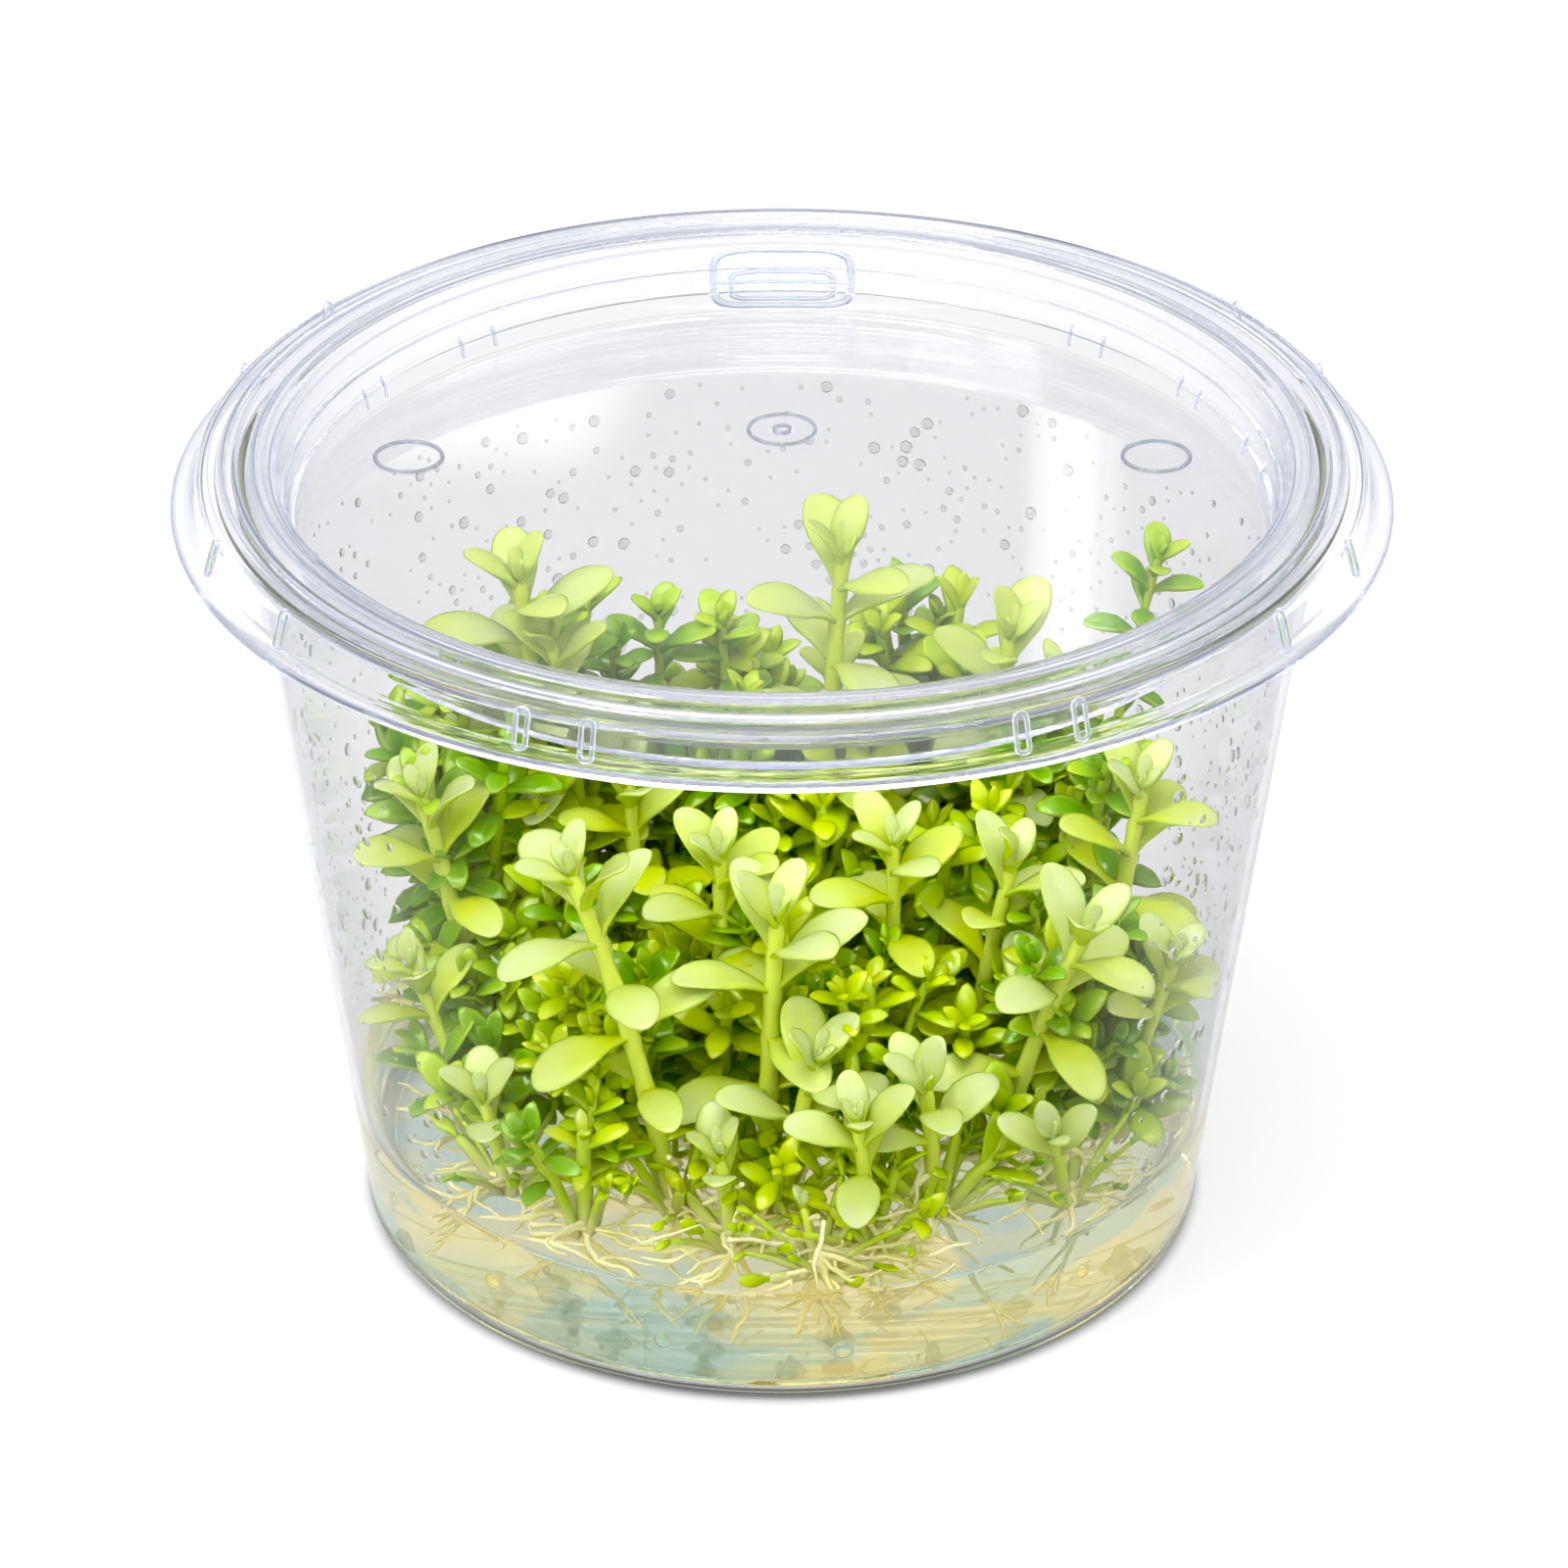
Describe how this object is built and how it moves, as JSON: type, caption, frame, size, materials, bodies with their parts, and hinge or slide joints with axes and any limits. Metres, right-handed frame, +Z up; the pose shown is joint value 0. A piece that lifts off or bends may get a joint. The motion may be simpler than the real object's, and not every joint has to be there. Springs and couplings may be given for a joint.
{
  "type": "lidded culture cup of bacopa",
  "caption": "Bacopa shoots rooted in clear gel inside a see-through cup with a push-on lid; it stands on its flat base, and the recessed lid takes another cup's foot.",
  "frame": {"origin": "middle of the cup's flat bottom, on the surface it stands on", "axes": "+Z up through the lid, -Y towards the pictured front, +X to the right"},
  "size_m": [0.11, 0.11, 0.077],
  "materials": {
    "clear_plastic": "thin clear moulded plastic, glossy, edges faintly lilac-grey",
    "gel": "set nutrient gel, see-through, faint cream and grey-green tint, a few bubbles",
    "leaf_lime": "smooth fleshy leaf, lime green, soft gloss, slightly translucent",
    "leaf_pale": "smooth fleshy young leaf, pale yellow-green, soft gloss, slightly translucent",
    "leaf_deep": "smooth shaded leaf, deep green, wet gloss",
    "root": "fine cream-white roots, wet",
    "water": "clear condensation drops"
  },
  "bodies": {
    "root": {"cup": "clear_plastic", "gel": "gel", "lid": "clear_plastic", "shoot_back_1": "leaf_lime", "shoot_back_2": "leaf_lime", "shoot_back_3": "leaf_lime", "shoot_back_4": "leaf_lime", "shoot_back_5": "leaf_lime", "shoot_back_6": "leaf_lime", "shoot_back_7": "leaf_lime", "shoot_back_8": "leaf_lime", "shoot_back_9": "leaf_lime", "shoot_front_1": "leaf_pale", "shoot_front_2": "leaf_pale", "shoot_front_3": "leaf_pale", "shoot_front_4": "leaf_pale", "shoot_front_5": "leaf_pale", "shoot_front_6": "leaf_pale", "shoot_front_7": "leaf_pale", "shoot_front_8": "leaf_pale", "shoot_front_9": "leaf_pale", "shoot_front_10": "leaf_pale", "shoot_low_1": "leaf_deep", "shoot_low_2": "leaf_deep", "shoot_low_3": "leaf_deep", "shoot_low_4": "leaf_deep", "shoot_low_5": "leaf_deep", "shoot_low_6": "leaf_deep", "shoot_low_7": "leaf_deep", "shoot_low_8": "leaf_deep", "shoot_low_9": "leaf_deep", "shoot_low_10": "leaf_deep", "shoot_low_11": "leaf_deep", "shoot_low_12": "leaf_deep", "shoot_low_13": "leaf_deep", "shoot_low_14": "leaf_deep", "shoot_low_15": "leaf_deep", "shoot_low_16": "leaf_deep", "shoot_low_17": "leaf_deep", "shoot_low_18": "leaf_deep", "shoot_low_19": "leaf_deep", "shoot_low_20": "leaf_deep", "shoot_low_21": "leaf_deep", "shoot_low_22": "leaf_deep", "shoot_low_23": "leaf_deep", "shoot_low_24": "leaf_deep", "shoot_middle_1": "leaf_lime", "shoot_middle_2": "leaf_lime", "shoot_middle_3": "leaf_lime", "shoot_middle_4": "leaf_lime", "shoot_middle_5": "leaf_lime", "shoot_middle_6": "leaf_lime", "shoot_middle_7": "leaf_lime", "shoot_middle_8": "leaf_lime"}
  },
  "joints": []
}
